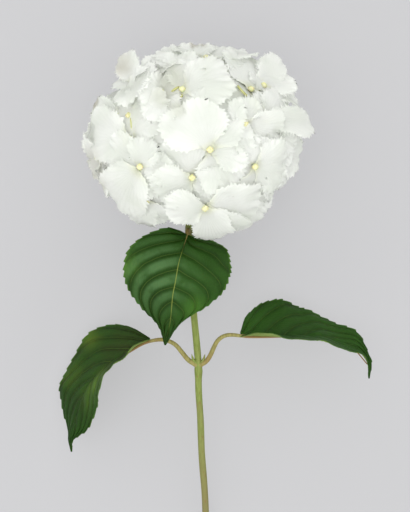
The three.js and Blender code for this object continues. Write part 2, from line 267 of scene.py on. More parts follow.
class Finish:
    def __init__(self, name, settings):
        self.material = bpy.data.materials.new(name)
        self.material.use_nodes = True
        self.tree = self.material.node_tree
        self.surface = self.tree.nodes["Principled BSDF"]
        for socket, value in settings.items():
            self.feed(self.surface.inputs[socket], value)

    def node(self, kind, settings, *values, out=0):
        made = self.tree.nodes.new(kind)
        for name, value in settings.items():
            setattr(made, name, value)
        for socket, value in zip(made.inputs, values):
            self.feed(socket, value)
        return Wire(self, made.outputs[out])

    def feed(self, socket, value):
        # A value is a Wire, a colour's code, a number or a vector. None leaves the socket as it is.
        if isinstance(value, Wire):
            self.tree.links.new(value.socket, socket)
        elif value is not None:
            socket.default_value = tint(value) if isinstance(value, str) else value

    def place(self, out="Object"):
        return self.node("ShaderNodeTexCoord", {}, out=out)

    def split(self, vector):
        made = self.node("ShaderNodeSeparateXYZ", {}, vector).socket.node
        return [Wire(self, socket) for socket in made.outputs]

    def vector(self, operation, *values, out=0):
        return self.node("ShaderNodeVectorMath", {"operation": operation}, *values, out=out)

    def stretched(self, vector, by):
        return self.vector("MULTIPLY", vector, by)

    def distance(self, vector, middle):
        return self.vector("DISTANCE", vector, middle, out=1)

    def near(self, vector, middle, reach, full=0):
        # 1 close to a place in millimetres, 0 beyond its reach
        away = self.distance(vector, [value * mm for value in middle])
        return away.mask(reach * mm, full * mm)

    def noise(self, vector, scale, detail=2.0):
        return self.node("ShaderNodeTexNoise", {}, vector, None, scale, detail)

    def cells(self, vector, scale):
        return self.node("ShaderNodeTexVoronoi", {"feature": "DISTANCE_TO_EDGE"}, vector, None, scale)

    def mix(self, share, below, above):
        made = self.tree.nodes.new("ShaderNodeMix")
        made.data_type = "RGBA"
        self.feed(made.inputs[0], share)
        self.feed(made.inputs[6], below)  # 6 and 7 are the colour sockets
        self.feed(made.inputs[7], above)
        return Wire(self, made.outputs[2])

    def colour(self, value):
        self.feed(self.surface.inputs["Base Color"], value)

    def roughness(self, value):
        self.feed(self.surface.inputs["Roughness"], value)

    def shineThrough(self, colour, share):
        # Part of the light passes through a thin petal.
        behind = self.node("ShaderNodeBsdfTranslucent", {}, colour)
        both = self.node("ShaderNodeMixShader", {}, share, Wire(self, self.surface.outputs[0]), behind)
        self.tree.links.new(both.socket, self.tree.nodes["Material Output"].inputs[0])

    def bump(self, height, depth):
        made = self.tree.nodes.new("ShaderNodeBump")
        self.feed(made.inputs["Distance"], depth * mm)
        self.feed(made.inputs["Height"], height)
        self.tree.links.new(made.outputs["Normal"], self.surface.inputs["Normal"])


petalLook = {
    # The outer tint is painted shade on the petals that stand out from the head and catch the most light.
    "face": "#fbfcfa", "outerPaintedShade": "#f5f6f3", "shade": "#e4e9df",
    # The deep tint is the greener colour of petals inside the head, partly painted shade of the head's
    # inside.
    "root": "#eef0bd", "deepTintAndShade": "#dedfc2", "inside": "#fafbf8",
    # The greyish green tint is painted shade in hollows among the petals.
    "aged": "#8a7650", "green": "#a9ad8c",
    "shadeShare": 0.5, "rootShare": 0.5, "deepTintAndShadeShare": 0.55, "through": 0.6,
    "fanWidth": 1.15, "fanStart": 0.03,  # the veins spread from just below the petal's root
    "veins": 46, "veinWander": 2.5, "veinShare": 0.22, "veinDepth": 0.2,
    "spotFlat": 0.3, "spotFull": 0.3, "spotWander": 0.006,
}
# Where petals have begun to brown, and greyish green painted shade in the hollows among upright petals:
# the photo's column and row, the reach, the share and the tint
petalSpots = [
    (95, 103, 6, 0.5, "aged"), (142, 57, 4, 0.4, "aged"), (194, 44, 5, 0.45, "aged"),
    (204, 45, 4, 0.4, "aged"), (120, 62, 14, 0.25, "aged"), (124, 71, 10, 0.22, "aged"),
    (90, 165, 18, 0.2, "aged"), (97, 185, 12, 0.25, "aged"),
    (172, 76, 16, 0.34, "green"), (161, 97, 11, 0.32, "green"), (177, 109, 9, 0.32, "green"),
]


def petalWhite(look):
    finish = Finish("petalWhite", {
        "Roughness": 0.7, "Specular IOR Level": 0.15, "Sheen Weight": 0.15, "Sheen Roughness": 0.6,
    })
    u, v = finish.split(finish.place("UV"))[:2]
    across = (u - 0.5) * look["fanWidth"]
    along = v + look["fanStart"]
    fan = across.angle(along)
    place = finish.place()
    wander = finish.noise(place, 160)
    veins = ((fan * look["veins"] + wander * look["veinWander"]).wave() * 0.5 + 0.5) ** 3.0
    fine = finish.noise(place, 900)
    soft = finish.noise(place, 50)
    # How deep in the head: 1 on its rounded surface, less inside
    inner = finish.vector("SUBTRACT", place, centre * mm)
    inner = finish.stretched(inner, [1 / (radius * mm) for radius in radii])
    depth = finish.vector("LENGTH", inner, out=1)
    # Painted shade: petals standing out beyond the head's rounded surface are a little darker, as they
    # catch the most light.
    colour = finish.mix(depth.mask(0.93, 1.08), look["face"], look["outerPaintedShade"])
    colour = finish.mix(soft.mask(0.4, 0.65) * look["shadeShare"], colour, look["shade"])
    veinTint = veins * look["veinShare"] * (1 - along.mask(0.3, 1.0) * 0.6)
    colour = finish.mix(veinTint, colour, look["shade"])
    colour = finish.mix(along.mask(0.22, 0.03) * look["rootShare"], colour, look["root"])
    # Deeper in the head the petals are greener and darker: partly their own colour, partly painted shade
    # between the petals.
    colour = finish.mix(depth.mask(0.98, 0.75) * look["deepTintAndShadeShare"], colour, look["deepTintAndShade"])
    # Brown spots where petals have begun to brown, and greyish green spots of painted shade.
    for column, row, reach, share, shade in petalSpots:
        middle = seenAt(column, row, 0) * mm
        middle.z *= look["spotFlat"]
        away = finish.distance(finish.stretched(place, (1, 1, look["spotFlat"])), middle)
        away = away + (wander - 0.5) * look["spotWander"]
        spot = away.mask(reach * mm, reach * mm * look["spotFull"])
        colour = finish.mix(spot * share, colour, look[shade])
    finish.colour(colour)
    finish.bump(veins * 0.8 + fine * 0.25, look["veinDepth"])
    finish.shineThrough(look["inside"], look["through"])
    return finish.material


budLook = {"base": "#d8d6b0", "green": "#caca8c"}


def budGreen(look):
    finish = Finish("budGreen", {"Roughness": 0.5, "Subsurface Weight": 0.2, "Subsurface Scale": 0.001})
    spots = finish.noise(finish.place(), 700)
    finish.colour(finish.mix(spots.mask(0.35, 0.65), look["base"], look["green"]))
    finish.bump(spots, 0.1)
    return finish.material


fleckBrown = "#7a5a38"
# Where bark is browned: the axis, how far from the head's centre that starts and is full, and its share
stemLook = {
    "base": "#7d8948", "dark": "#6c7939", "warm": "#756c45",
    "browned": (1, 190, 280, 0.8),
}
stalkLook = {"base": "#c6c78c", "dark": "#b3b574", "warm": "#bcb380"}
petioleLook = {
    "base": "#8f8852", "dark": "#7b7544", "warm": "#7d6038",
    "browned": (0, 34, 38, 0.85),
}


def greenBark(name, look):
    # Fine lines along the stem, warmer patches and brown flecks
    finish = Finish(name, {"Roughness": 0.48, "Specular IOR Level": 0.15})
    place = finish.place()
    lines = finish.noise(finish.stretched(place, (1, 0.12, 1)), 720, 3.0)
    patches = finish.noise(place, 45, 3.0)
    flecks = finish.noise(finish.stretched(place, (1, 0.35, 1)), 520, 1.0)
    colour = finish.mix(lines.mask(0.3, 0.7), look["base"], look["dark"])
    colour = finish.mix(patches.mask(0.5, 0.75) * 0.6, colour, look["warm"])
    if "browned" in look:
        axis, near, far, share = look["browned"]
        away = (finish.split(place)[axis] - centre[axis] * mm).size()
        colour = finish.mix(away.mask(near * mm, far * mm) * share, colour, look["warm"])
    colour = finish.mix(flecks.mask(0.68, 0.74) * 0.55, colour, fleckBrown)
    finish.colour(colour)
    finish.roughness(lines * 0.2 + 0.38)
    finish.bump(lines * 0.6 + flecks.mask(0.66, 0.76) * 0.4, 0.15)
    return finish.material


pithLook = {"base": "#c9caad", "green": "#adb585"}


def pithPale(look):
    finish = Finish("pithPale", {"Roughness": 0.8})
    fibres = finish.noise(finish.place(), 1400)
    finish.colour(finish.mix(fibres, look["base"], look["green"]))
    finish.bump(fibres, 0.15)
    return finish.material


# A blade's shape and its colours share these veins. Sweep is how far they run forward, at the base and at
# the tip, and arch bends them further.
leafVeins = {"count": 7, "sweep": (0.2, 0.45), "arch": 0.14, "midrib": 0.014, "ladder": 16, "net": 480}
leafUpperLook = {
    "base": "#1b3707", "dark": "#112704", "light": "#2a4f14",
    "vein": "#648230", "edge": "#557a2c", "rib": "#8f9a4a",
}
leafUnderLook = {
    "base": "#71823f", "dark": "#667839", "light": "#80914f",
    "vein": "#949e67", "edge": "#86925c", "rib": "#9ba678",
}
# Patches on the leaves' upper sides: middle, reach, share and tint
leafPatches = [
    ((-42, -165, 48), 66, 1.0, "#28300b"), ((-58, -188, 60), 30, 0.7, "#5f8228"),
    ((-63, -149, 20), 18, 0.6, "#5a7020"), ((-80, -175, 20), 20, 0.5, "#5a7020"),
    ((-29, -92, 88), 16, 0.7, "#64913a"), ((20, -127, 78), 15, 0.45, "#578a2c"),
    ((60, -132, 40), 26, 0.4, "#3f6f22"),
]
# A sheen painted on the front leaf, and where the leaves' pale midribs show
leafSheen = {"middle": (-9, -100, 84), "reach": 40, "share": 0.34, "tint": "#6a9160"}
paleMidrib = {"middle": (0, -110, 80), "reach": 95, "full": 60}


def veinRun(side, along):
    # Times the count of veins, this is a whole number on each vein. It takes numbers or Wires.
    return along - side * blend(*leafVeins["sweep"], along) - side * side * leafVeins["arch"]


def leafFinish(name, look, under):
    # Veins run over the blade from its UV map: u across it, v from base to tip.
    finish = Finish(name, {"Roughness": 0.42, "Specular IOR Level": 0.1, "Subsurface Weight": 0.05,
                           "Subsurface Scale": 0.001})
    u, v = finish.split(finish.place("UV"))[:2]
    side = ((u - 0.5) * 2).size()
    place = finish.place()
    wander = finish.noise(place, 55)
    step = (veinRun(side, v) * leafVeins["count"] + (wander - 0.5) * 0.25 + 50).fraction()
    ridge = ((step - 0.5) * 2).size()
    lateral = ridge.mask(0.93, 1.0) * side.mask(1.0, 0.8)
    midrib = side.mask(leafVeins["midrib"], 0.004) * (1 - v * 0.6)
    ladder = ((side * leafVeins["ladder"] + (wander - 0.5) * 3).fraction() - 0.5).size().mask(0.4, 0.5)
    net = finish.cells(place, leafVeins["net"]).mask(0.09, 0.01)
    blotches = finish.noise(place, 28, 4.0)
    grain = finish.noise(place, 1500)
    colour = finish.mix(blotches.mask(0.35, 0.7), look["base"], look["dark"])
    colour = finish.mix(finish.noise(place, 9).mask(0.45, 0.7) * 0.55, colour, look["light"])
    if not under:
        for middle, reach, share, shade in leafPatches:
            patch = finish.near(place, middle, reach) * blotches.mask(0.3, 0.6)
            colour = finish.mix(patch * share, colour, shade)
    colour = finish.mix(net * 0.22 + ladder * 0.14, colour, look["light"])
    # Lighter on the pillows between the veins: partly the leaf's paler colour there, partly a painted
    # highlight.
    colour = finish.mix(ridge.mask(0.9, 0.2) * 0.3, colour, look["light"])
    ribTint = midrib
    if not under:
        # A painted sheen on the ridges between the veins, broken up in patches.
        sheen = finish.near(place, leafSheen["middle"], leafSheen["reach"]) * ridge.mask(0.8, 0.2)
        sheen = sheen * finish.noise(place, 90).mask(0.1, 0.6)
        colour = finish.mix(sheen * leafSheen["share"], colour, leafSheen["tint"])
        ribTint = midrib * finish.near(place, **paleMidrib)
    # Painted shade: darker in the grooves along the veins.
    colour = finish.mix(ridge.mask(0.7, 1.0) * 0.5, colour, look["dark"])
    colour = finish.mix(lateral * 0.3, colour, look["vein"])
    colour = finish.mix(ribTint * 0.75, colour, look["rib"])
    colour = finish.mix(side.mask(0.965, 1.0) * 0.4, colour, look["edge"])
    finish.colour(colour)
    finish.roughness(blotches * 0.25 + (0.45 if under else 0.3))
    # Veins are sunk in the upper side and stand out on the underside.
    veins = net * 0.25 + ladder * 0.3 + ridge.mask(0.5, 1.0) + midrib
    finish.bump(veins * (1.0 if under else -1.0) + grain * 0.15, 0.4)
    return finish.material


white = petalWhite(petalLook)
bud = budGreen(budLook)
stemBark = greenBark("stemGreen", stemLook)
stalkBark = greenBark("stalkGreen", stalkLook)
petioleBark = greenBark("petioleGreen", petioleLook)
pith = pithPale(pithLook)
upper = leafFinish("leafUpper", leafUpperLook, under=False)
under = leafFinish("leafUnder", leafUnderLook, under=True)
print("materials made")


# Stem, with a swelling at each node, buds at the lower one and a slanted cut end
stem = {
    "route": [
        (-5, -50, 63), (-6.4, -70, 59), (-4.5, -109, 50), (-0.3, -155, 41), (0.9, -171, 38.5),
        (1.1, -190, 35), (2.5, -213, 30), (3.5, -240, 24.8), (5.7, -269, 18.5), (6.6, -290, 14.2),
        (7.6, -325, 7.6), (8.4, -350, 3.64), (8.7, -366, 2.66),
    ],
    "radius": 2.62,
    "rings": 150,
    "sides": 20,
    "swellings": [(24, 0.5), (128, 0.6)],  # how far along the stem, and by how much
    "swellingLength": 4.4,
    "slant": 0.9,
    "slantWay": Vector((0.6, 0, 0.8)),
    "lowest": 0.05,
    "skin": 0.55,
    "lowerNode": (0.9, -171, 38.5),
    "budRoot": (1.6, 1.5, 1.6),
    "budWay": (0.42, 0.9, 0.25),
    "budBend": (0.6, -0.4, 0.2),
    "budLength": 8.5,
    "budRadius": 1.5,
}


def makeStem():
    path, length = evenPath([fromHead(point) for point in stem["route"]], stem["rings"])

    def radiusAt(share):
        swell = sum(by * math.exp(-((share * length - at) / stem["swellingLength"]) ** 2)
                    for at, by in stem["swellings"])
        ribs = 0.05 * math.sin(share * 61) + 0.03 * math.sin(share * 23)
        return stem["radius"] + swell + ribs

    bm = bmesh.new()
    end = addTube(bm, path, radiusAt, stem["sides"])
    ahead = (path[-1] - path[-2]).normalized()
    for vert in end:
        vert.co += ahead * stem["slant"] * (vert.co - path[-1]).dot(stem["slantWay"])
        vert.co.z = max(vert.co.z, stem["lowest"])
    cut = [face for face in bm.faces if all(vert in end for vert in face.verts)]
    bmesh.ops.inset_region(bm, faces=cut, thickness=stem["skin"], depth=0)
    for face in cut:
        face.material_index = 1
    for side in (-1, 1):
        addBud(bm, side)
    finishPiece(bm, "greenStem", ["stem"], [stemBark, pith])
    print("stem made")


def addBud(bm, side):
    # A pointed bud where a side leaf's petiole leaves the stem
    root = fromHead(stem["lowerNode"]) + mirrored(stem["budRoot"], side)
    tip = root + mirrored(stem["budWay"], side) * stem["budLength"]
    middle = (root + tip) / 2 + mirrored(stem["budBend"], side)

    def radiusAt(share):
        return stem["budRadius"] * (0.75 + 0.45 * share - 1.17 * share * share)

    addTube(bm, evenPath([root, middle, tip], 14)[0], radiusAt, 12)


def mirrored(place, side):
    return Vector((side * place[0], place[1], place[2]))


makeStem()


# Florets: where each one sits, faces and lies among the others
petals = {
    "length": 33.5,
    "width": 38.5,
    "sheet": 0.34,
    "cells": 32,
    "seed": 12,
    "ruleLength": 0.94,  # of the petals that a rule lays, against their full length
    "pairWidths": (1.04, 0.94),
    "pairGap": 1.3,
    "seenGap": 0.9,
    "rootHalf": 4.2,
    "shoulder": 0.22,
    "uneven": (0.06, 0.04),
    "toothLength": 2.4,
    "toothSizes": (0.4, 1.2),
    "teeth": ((-0.15, 1), (-0.15, 1), (0, 0.9, 0.3), (-0.1, 0.5, 1)),  # runs along the rim
    "ball": 73,  # the radius of the ball that petals lie round
    "ruffle": 0.8,
    "flutter": 0.35,
    "crease": 0.8,
    "restHeight": 0.25,
    "restStep": 0.11,
    "softRise": 1.45,
}


def seen(seat, lean, layer, eye, tips):
    # Seat and lean put a floret in the CAD's head. Its eye and tips are where the photo shows them.
    return {"seat": seat, "lean": lean, "layer": layer, "turn": 0, "seenEye": eye, "tips": tips}


# A tip is the photo's column and row of a petal's outer edge, how high that is above the head, the
# petal's width and, where they aren't 0 and 0.8, its twist and its bow.
frontFlorets = [
    seen((10, -8), (-0.1, 0.15), 0, (210, 150, -1), [
        (233, 182, -1, 40), (252, 143, -2, 38), (219, 92, -1, 42), (182, 104, 2, 44)]),
    seen((-44, -21), (0.1, 0), 0, (141, 166, -1), [
        (110, 150, -3, 36), (167, 184, -5, 42), (146, 140, -1, 26), (117, 207, 3, 38)]),
    seen((-4, -28), (0.1, 0.1), 1, (192, 177, -3), [
        (162, 144, -3, 46), (206, 206, -4, 38), (228, 181, -7, 24), (156, 190, -2, 34)]),
    seen((6, -52), (0, 0.4), 1, (205, 207, 1), [
        (259, 202, 0, 50), (238, 230, 0, 30), (220, 238, 2, 28), (167, 205, 3, 36)]),
    seen((44, -21), (-0.1, 0), 1, (254, 166, -2), [
        (232, 160, -7, 40), (258, 137, -2, 34), (262, 196, -6, 44), (285, 165, 1, 40)]),
    seen((35, 13), (0, 0), 2, (244, 124, -3), [
        (233, 148, -5, 34), (262, 147, -6, 36), (281, 129, -4, 24, 25, 0.8), (243, 98, 2, 25)]),
    seen((-55, 16), (0.1, 0.4), 0, (130, 117, -11), [
        (118, 96, -7, 22), (152, 138, -12, 24), (166, 116, -3, 36), (143, 65, 5, 28, 0, -3)]),
    seen((-62, -4), (-0.1, 0), 2, (132, 139, -7), [
        (104, 160, -8, 34), (131, 162, -7, 30), (168, 137, -4, 28), (91, 133, 6, 36)]),
    seen((-29, 36), (-0.1, 0.5), 2, (163, 94, -12), [
        (145, 84, 0, 30), (183, 52, 5, 38, 0, -4), (157, 54, 8, 30, 0, -4), (160, 122, 1, 28)]),
    seen((-6, 39), (0.2, 0.1), 0, (182, 91, -6), [
        (176, 114, -11, 18), (194, 62, -5, 30), (223, 99, -7, 38), (231, 77, 3, 42)]),
    seen((35, 46), (0.1, 0.2), 0, (250, 91, -9), [
        (257, 114, -8, 20), (225, 98, -3, 36), (262, 64, -3, 26), (237, 53, 8, 34, 0, 0.5)]),
    seen((66, 20), (0.1, 0), 0, (264, 121, -7), [
        (262, 94, -4, 22), (292, 146, -6, 34), (311, 124, 2, 21), (290, 103, 3, 34)]),
    seen((73, -15), (0.1, 0), 1, (277, 150, -11), [
        (262, 138, -9, 22), (281, 184, -4, 24), (296, 142, -2, 28), (298, 161, 1, 34)]),
    seen((-22, 61), (0, 0.1), 2, (187, 66, -18), [
        (160, 60, -9, 30), (196, 74, -14, 30), (174, 47, -4, 38), (196, 45, -1, 32)]),
    seen((18, 63), (0, 0.1), 1, (206, 60, -10), [
        (249, 54, -6, 38), (192, 49, -4, 30), (232, 70, -3, 38), (218, 46, 1, 32)]),
    seen((55, 46), (0.2, 0.1), 3, (262, 87, -9), [
        (254, 73, -3, 20), (275, 57, 0, 22), (289, 92, -4, 34), (286, 74, 3, 32)]),
    seen((-48, 48), (-0.1, 0.2), 0, (134, 81, -16), [
        (120, 78, -5, 22), (137, 98, -2, 32), (124, 55, -3, 19), (148, 64, 0, 28)]),
    seen((-73, 18), (-0.2, 0.2), 1, (121, 117, -12), [
        (122, 98, -8, 24), (106, 142, -14, 30), (90, 128, -10, 34), (93, 111, -1, 20)]),
    seen((-74, -15), (-0.1, 0), 0, (99, 156, -10), [
        (112, 142, -14, 28), (105, 191, -7, 38), (84, 142, -1, 30), (93, 172, 0, 34)]),
    seen((-45, -52), (0, 0), 1, (148, 199, -9), [
        (122, 192, -13, 32), (174, 194, -5, 38), (138, 222, -1, 26), (167, 221, -1, 34)]),
    seen((37, -53), (0.1, 0.1), 0, (247, 195, -12), [
        (222, 206, -12, 34), (268, 192, -6, 28), (243, 229, -6, 28), (254, 218, 0, 32)]),
    seen((62, -44), (0, 0), 2, (272, 178, -13), [
        (258, 182, -12, 30), (280, 164, -8, 30), (281, 177, -5, 24), (264, 192, -2, 30)]),
]
# Under the head: across, up, above the surface, then the turn, the size and how far the petals rise
underFlorets = [
    (0, 0, 3.3, 6, 1, 18),
    (28, 22, 10, 50, 1.05, 0),
    (-34, 10, 11, 10, 1.05, 0),
    (6, -36, 12, 30, 1.05, 0),
]


# Seeded draws, in the same order each run
drawFactor = 16807
drawLimit = 2147483647
drawn = head["seed"]


def draw(low, high):
    global drawn
    drawn = (drawn * drawFactor) % drawLimit
    return low + ((high - low) * drawn) / drawLimit


def wayOf(floret):
    return divided(floret["eye"], radii).normalized()


def facingOut(eye):
    return divided(divided(eye, radii), radii).normalized()


def atStem(way):
    return math.degrees(way.angle(head["stemWay"])) < head["stemHole"]


def placedFlorets():
    florets = []
    for floret in frontFlorets:
        across, up = floret["seat"]
        flat = (across / radii.x) ** 2 + (up / radii.y) ** 2
        eye = Vector((across, up, radii.z * math.sqrt(max(0, 1 - flat))))
        facing = (facingOut(eye) + Vector((*floret["lean"], 0))).normalized()
        florets.append({**floret, "eye": eye, "facing": facing})
    for i, (across, up, above, turn, size, rise) in enumerate(underFlorets):
        eye = Vector((across, up, above - centre.z))
        facing = Vector((across, up, -radii.z)).normalized()
        florets.append({"eye": eye, "facing": facing, "turn": turn, "size": size, "rise": rise,
                        "layer": 0, "under": 4 * i})
    for way in spiralWays(head["tries"]):
        apart = [math.degrees(divided(other["eye"], radii).angle(way)) for other in florets]
        if min(apart) < head["spacing"] or atStem(way):
            continue
        eye = way * radii
        lean = Vector((draw(-0.2, 0.2), draw(-0.2, 0.2), draw(-0.2, 0.2)))
        florets.append({"eye": eye, "facing": (facingOut(eye) + lean).normalized(),
                        "turn": draw(0, 90), "size": draw(0.92, 1.06), "rise": draw(-2, 3)})
    layered(florets)
    return florets


def layered(florets):
    # Neighbours lie in different layers, so that they pass over and under each other.
    for i, floret in enumerate(florets):
        if "layer" in floret:
            continue
        taken = [math.inf] * head["layers"]
        for other in florets[:i]:
            apart = math.degrees(wayOf(other).angle(wayOf(floret)))
            if other["layer"] < len(taken):
                taken[other["layer"]] = min(taken[other["layer"]], apart)
        free = [k for k, apart in enumerate(taken) if apart > head["layerReach"]]
        floret["layer"] = free[0] if free else taken.index(max(taken))
    for floret in florets:
        floret["eye"] = floret["eye"] - wayOf(floret) * head["layerDepth"] * floret["layer"]
        if "seenEye" in floret:
            floret["eye"] = seenAt(*floret["seenEye"]) - centre
        elif "under" not in floret:
            # The spiral's florets sit deeper where the head is less full.
            flatter = eased(0.2, 0.8, wayOf(floret).dot(head["flatWay"]))
            floret["eye"] -= wayOf(floret) * head["flatBy"] * flatter


def pressed(height, rest):
    # Petals under the head lie flat on the surface, each a little over the one before.
    soft = rest + petals["softRise"]
    flatBelow = rest - petals["softRise"]
    if height >= soft:
        return height
    if height <= flatBelow:
        return rest
    return rest + (height - flatBelow) ** 2 / (4 * (soft - rest))


def floretPlace(floret):
    return Matrix.Translation(floret["eye"] + centre) @ turnedTo(floret["facing"])


def rulePetals(floret):
    # Two crossed pairs of petals that lie on the head
    made = []
    for pair, side in enumerate((-1, 1)):
        for index in (0, 1):
            turn = floret["turn"] + 90 * pair + 180 * index
            made.append({
                "place": floretPlace(floret) @ Matrix.Rotation(math.radians(turn), 4, "Z"),
                "length": petals["length"] * floret["size"] * petals["ruleLength"],
                "width": petals["width"] * floret["size"] * petals["pairWidths"][pair],
                "level": side * petals["pairGap"], "rise": floret["rise"], "bow": 0,
                "rest": petals["restHeight"] + petals["restStep"] * (floret.get("under", 0) + len(made)),
            })
    return made


def seenPetals(floret):
    # Petals that reach from the eye to where the photo shows their tips
    eye = floret["eye"] + centre
    made = []
    for i, (column, row, lift, width, *bend) in enumerate(floret["tips"]):
        twist, bow = bend or (0, 0.8)
        end = seenAt(column, row, lift)
        ahead = (end - eye).normalized()
        out = facingOut((eye + end) / 2 - centre)
        twisted = Matrix.Rotation(math.radians(twist), 3, ahead)
        out = twisted @ (out - ahead * out.dot(ahead)).normalized()
        turn = Matrix((ahead.cross(out), ahead, out)).transposed().to_4x4()
        made.append({
            "place": Matrix.Translation(eye) @ turn, "length": (end - eye).length,
            "width": width, "level": (i - 1.5) * petals["seenGap"], "bow": bow,
        })
    return made


def drawnShape(petal, chance):
    # What differs from petal to petal
    ruled = not petal["bow"]
    return {
        "length": petal["length"] * (draw(0.94, 1.06) if ruled else 1),
        "halfWidth": 0.5 * petal["width"] * (draw(0.96, 1.04) if ruled else 1),
        "phase": draw(0, math.tau),
        "waves": chance.choice((4, 5, 6)),
        "turns": [chance.uniform(0, math.tau) for i in range(4)],
        "frill": chance.uniform(0.6, 1.4),
        "curl": chance.uniform(-1.2, 1.2),
        "cup": chance.uniform(-0.4, 0.8),
        "fold": chance.uniform(-0.8, 1.2),
        "skew": chance.uniform(-0.05, 0.05),
        "creases": chance.uniform(24, 34),
    }


def drawnTeeth(rim, chance):
    # How far each vertex of the rim stands out, in runs of two or three
    teeth = {}
    while len(teeth) < len(rim):
        size = chance.uniform(*petals["toothSizes"])
        for share in chance.choice(petals["teeth"]):
            if len(teeth) < len(rim):
                teeth[rim[len(teeth)]] = share * size
    return teeth


def petalOutline(shape, x, y, root, tooth):
    # From the round grid to the petal's own outline: a narrow root, broad shoulders and an uneven edge
    radius = math.hypot(x, y)
    angle = math.atan2(x, y)
    broad, small = petals["uneven"]
    uneven = broad * math.sin(2 * angle + shape["turns"][0])
    uneven += small * math.sin(5 * angle + shape["turns"][1])
    outline = 1 + uneven * radius
    outline += petals["shoulder"] * abs(x) * max(0, y)
    narrow = 1 - 0.12 * y * y if y < 0 else 1
    across = x * (shape["halfWidth"] * narrow * outline + tooth)
    along = shape["length"] * (1 + y * outline) / 2 + y * tooth
    held = max(-petals["rootHalf"], min(petals["rootHalf"], across))
    across = blend(across, held, root) + shape["skew"] * along * (1 + y)
    return across, max(0, along)


def petalHeight(petal, shape, x, y, root, across, along):
    # The petal bends round the head, and its outer part is ruffled, curled, folded and creased.
    radius = math.hypot(x, y)
    angle = math.atan2(x, y)
    share = along / shape["length"]
    if petal["bow"]:
        sag = petal["bow"] + shape["length"] * shape["length"] / (8 * petals["ball"])
        height = petal["level"] * (1 - share) + sag * 4 * share * (1 - share)
        height -= across * across / (4 * petals["ball"])
    else:
        out = math.hypot(across, along)
        height = petal["level"] + petal["rise"] * (out / shape["length"]) ** 1.5
        height -= out * out / (2 * petals["ball"])
    wavy = petals["ruffle"] * math.sin(3 * angle + shape["phase"])
    wavy += shape["frill"] * radius ** 3 * math.sin(shape["waves"] * angle + shape["turns"][2])
    flutter = petals["flutter"] * radius ** 7 * math.sin(17 * angle + shape["turns"][3])
    wavy += flutter + shape["curl"] * radius ** 4 + shape["fold"] * abs(x)
    fan = math.atan2(across, along + 4)
    wavy += petals["crease"] * min(1, share) ** 2 * math.sin(shape["creases"] * fan + shape["turns"][3])
    edge = radius * radius * (1 - root)
    cup = shape["cup"] * (1 - root) * (2 * radius ** 2 - 1)
    return height + (edge * wavy + cup) * shape["halfWidth"] * 2 / petals["width"]


def addPetal(bm, uvMap, petal, chance):
    shape = drawnShape(petal, chance)
    cells = petal.get("cells", petals["cells"])
    grid = bmesh.ops.create_grid(bm, x_segments=cells, y_segments=cells, size=1)["verts"]
    disc = {}  # the square grid drawn round
    for vert in grid:
        x, y = vert.co.x, vert.co.y
        disc[vert] = (x * math.sqrt(1 - y ** 2 / 2), y * math.sqrt(1 - x ** 2 / 2))
    rim = sorted((vert for vert in grid if vert.is_boundary), key=lambda vert: math.atan2(*disc[vert]))
    sharpRim(rim)
    teeth = drawnTeeth(rim, chance)
    for face in {face for vert in grid for face in vert.link_faces}:
        for loop in face.loops:
            x, y = disc[loop.vert]
            loop[uvMap].uv = (0.5 + 0.5 * x, 0.5 + 0.5 * y)
    for vert, (x, y) in disc.items():
        root = eased(-0.65, -0.95, math.cos(math.atan2(x, y))) * math.hypot(x, y)
        tooth = teeth.get(vert, 0) * petals["toothLength"] * cells / petals["cells"]
        tooth *= 1 - min(1, root * 1.5)
        across, along = petalOutline(shape, x, y, root, tooth)
        height = petalHeight(petal, shape, x, y, root, across, along)
        vert.co = petal["place"] @ Vector((across, along, height))
        vert.co.z = pressed(vert.co.z, petal.get("rest", petals["restHeight"]))


def makeFlorets(florets):
    chance = random.Random(petals["seed"])
    eyes = bmesh.new()
    for number, floret in enumerate(florets, 1):
        bm = bmesh.new()
        uvMap = bm.loops.layers.uv.new("petal")
        for petal in (seenPetals(floret) if "tips" in floret else rulePetals(floret)):
            addPetal(bm, uvMap, petal, chance)
        piece = finishPiece(bm, f"floret{number:02d}", ["florets"], [white], recalculated=False)
        thicken(piece, petals["sheet"])
        addEye(eyes, floretPlace(floret) @ Matrix.Rotation(math.radians(floret["turn"]), 4, "Z"))
    finishPiece(eyes, "floretEyes", ["florets"], [bud])
    print("florets made:", len(florets))


eyeBud = {"radius": 2.5, "lobes": 4, "lobeShare": 0.08, "halfHeight": 2.0, "above": 0.7, "lowest": 0.1}


def addEye(bm, place):
    # A closed bud of four lobes
    eye = bmesh.ops.create_uvsphere(bm, u_segments=24, v_segments=10, radius=1)["verts"]
    for vert in eye:
        angle = math.atan2(vert.co.y, vert.co.x)
        ring = eyeBud["radius"] * (1 + eyeBud["lobeShare"] * math.cos(eyeBud["lobes"] * angle))
        height = petals["pairGap"] + eyeBud["above"] + eyeBud["halfHeight"] * vert.co.z
        vert.co = place @ Vector((vert.co.x * ring, vert.co.y * ring, height))
        vert.co.z = max(vert.co.z, eyeBud["lowest"])


innerPetals = {
    "count": 72,
    "depth": 0.83,  # of the head's radii
    "depthStep": 0.05,
    "length": 42,
    "width": 42,
    "level": 0,
    "bow": 3,
    "cells": 12,
    "seed": 31,
}


def makeInnerPetals():
    # Deeper petals close the head between the florets.
    inner = innerPetals
    chance = random.Random(inner["seed"])
    bm = bmesh.new()
    uvMap = bm.loops.layers.uv.new("petal")
    for i, way in enumerate(spiralWays(inner["count"])):
        if atStem(way):
            continue
        middle = way * radii * (inner["depth"] - inner["depthStep"] * (i % 3))
        turn = Matrix.Rotation(chance.uniform(0, math.tau), 4, "Z")
        place = Matrix.Translation(middle + centre) @ turnedTo(facingOut(middle)) @ turn
        place = place @ Matrix.Translation((0, -inner["length"] / 2, 0))
        addPetal(bm, uvMap, {**inner, "place": place}, chance)
    piece = finishPiece(bm, "innerPetals", ["florets"], [white], recalculated=False)
    thicken(piece, petals["sheet"])
    print("inner petals made")


placed = placedFlorets()
makeFlorets(placed)
makeInnerPetals()


